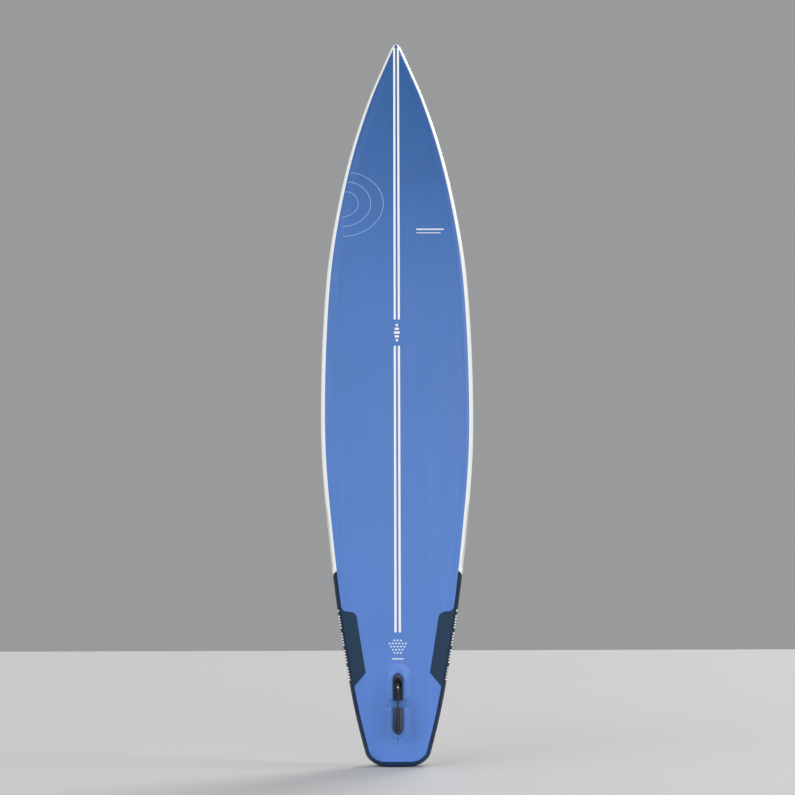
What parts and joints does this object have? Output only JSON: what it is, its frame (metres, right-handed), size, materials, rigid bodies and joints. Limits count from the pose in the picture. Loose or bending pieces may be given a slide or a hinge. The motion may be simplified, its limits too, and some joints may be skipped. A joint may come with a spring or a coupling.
{
  "type": "stand up paddleboard",
  "caption": "Inflatable touring stand up paddleboard standing on its tail, with a removable fin in a split fin box, a deck pad, a carry handle, D-rings and an inflation valve.",
  "frame": {"origin": "on the flat foot at the tail end, on the centreline and midway between the hull and deck planes", "axes": "+Z from the tail to the nose, -Y out of the hull (bottom), +Y out of the deck, +X the port side"},
  "size_m": [0.7622, 0.5403, 3.81],
  "materials": {
    "hull_blue": "satin",
    "rail_white": "satin",
    "deck_white": "satin",
    "rail_navy": "satin",
    "patch_navy": "matte",
    "sidewall_grey": "matte",
    "core_cloth": "matte",
    "stripe_white": "satin",
    "box_black": "satin",
    "fin_black": "satin",
    "pin_brass": "satin",
    "steel": "satin",
    "pad_grey": "matte",
    "pad_navy": "matte",
    "webbing_black": "matte",
    "grip_black": "matte",
    "patch_white": "satin",
    "gasket_black": "matte",
    "valve_grey": "satin",
    "poppet_orange": "satin"
  },
  "bodies": {
    "board": {"hull_panel": "hull_blue", "deck_panel": "deck_white", "rail_port": "rail_white", "rail_starboard": "rail_white", "tail_rail_port": "rail_navy", "tail_rail_starboard": "rail_navy", "tail_end_rail": "rail_navy", "nose_cap": "rail_white", "inner_rail_port": "sidewall_grey", "inner_rail_starboard": "sidewall_grey", "hull_cloth": "core_cloth", "deck_cloth": "core_cloth", "drop_threads": "core_cloth", "tail_patch_port": "patch_navy", "tail_patch_starboard": "patch_navy", "centre_stripes": "stripe_white", "front_plug_patch": "hull_blue", "rear_plug_patch": "hull_blue", "front_plug": "box_black", "rear_plug": "box_black", "deck_pad": "pad_grey", "kick_pad": "pad_navy", "handle_patches": "patch_white", "handle_webbing": "webbing_black", "handle_grip": "grip_black", "cargo_patches": "patch_white", "cargo_tabs": "webbing_black", "leash_patch": "patch_white", "leash_tab": "webbing_black", "tow_patch": "patch_white", "tow_tab": "webbing_black", "valve_gasket": "gasket_black", "valve_body": "valve_grey", "valve_nut": "valve_grey", "valve_spring": "steel"},
    "fin_unit": {"fin": "fin_black", "fin_pin": "pin_brass", "fin_plate": "steel"},
    "fin_screw": {"fin_screw": "steel"},
    "valve_poppet": {"valve_poppet": "poppet_orange"},
    "cap_seal": {"valve_cap_seal": "gasket_black"},
    "valve_cap": {"valve_cap": "valve_grey"},
    "cargo_ring_1": {"cargo_ring_1": "steel"},
    "cargo_ring_2": {"cargo_ring_2": "steel"},
    "cargo_ring_3": {"cargo_ring_3": "steel"},
    "cargo_ring_4": {"cargo_ring_4": "steel"},
    "leash_ring": {"leash_ring": "steel"},
    "tow_ring": {"tow_ring": "steel"}
  },
  "joints": [
    {"name": "fin_slide", "type": "slide", "parent": "board", "child": "fin_unit", "axis": [0, 0, 1], "range_m": [-0.008, 0.008]},
    {"name": "fin_screw_turn", "type": "hinge", "parent": "fin_unit", "child": "fin_screw", "pos_m": [0, -0.0916, 0.361], "axis": [0, -1, 0], "range_deg": [0, 720]},
    {"name": "valve_press", "type": "slide", "parent": "board", "child": "valve_poppet", "axis": [0, -1, 0], "range_m": [0, 0.006], "stiffness_N_per_m": 500, "springref_m": -0.002},
    {"name": "valve_cap_lift", "type": "slide", "parent": "board", "child": "cap_seal", "axis": [0, 1, 0], "range_m": [0, 0.03]},
    {"name": "valve_cap_turn", "type": "hinge", "parent": "cap_seal", "child": "valve_cap", "pos_m": [0.078, 0.085, 0.375], "axis": [0, 1, 0], "range_deg": [0, 90]},
    {"name": "cargo_ring_1_swing", "type": "hinge", "parent": "board", "child": "cargo_ring_1", "pos_m": [-0.19, 0.09888, 2.62756], "axis": [1, 0, 0], "range_deg": [-4, 165]},
    {"name": "cargo_ring_2_swing", "type": "hinge", "parent": "board", "child": "cargo_ring_2", "pos_m": [0.19, 0.09888, 2.62756], "axis": [1, 0, 0], "range_deg": [-4, 165]},
    {"name": "cargo_ring_3_swing", "type": "hinge", "parent": "board", "child": "cargo_ring_3", "pos_m": [-0.12, 0.1372, 3.04717], "axis": [1, 0, 0], "range_deg": [-7, 165]},
    {"name": "cargo_ring_4_swing", "type": "hinge", "parent": "board", "child": "cargo_ring_4", "pos_m": [0.12, 0.1372, 3.04717], "axis": [1, 0, 0], "range_deg": [-7, 165]},
    {"name": "leash_ring_swing", "type": "hinge", "parent": "board", "child": "leash_ring", "pos_m": [0, 0.0824, 0.118], "axis": [1, 0, 0], "range_deg": [-3, 165]},
    {"name": "tow_ring_swing", "type": "hinge", "parent": "board", "child": "tow_ring", "pos_m": [0, 0.18526, 3.36688], "axis": [1, 0, 0], "range_deg": [-10, 165]}
  ]
}
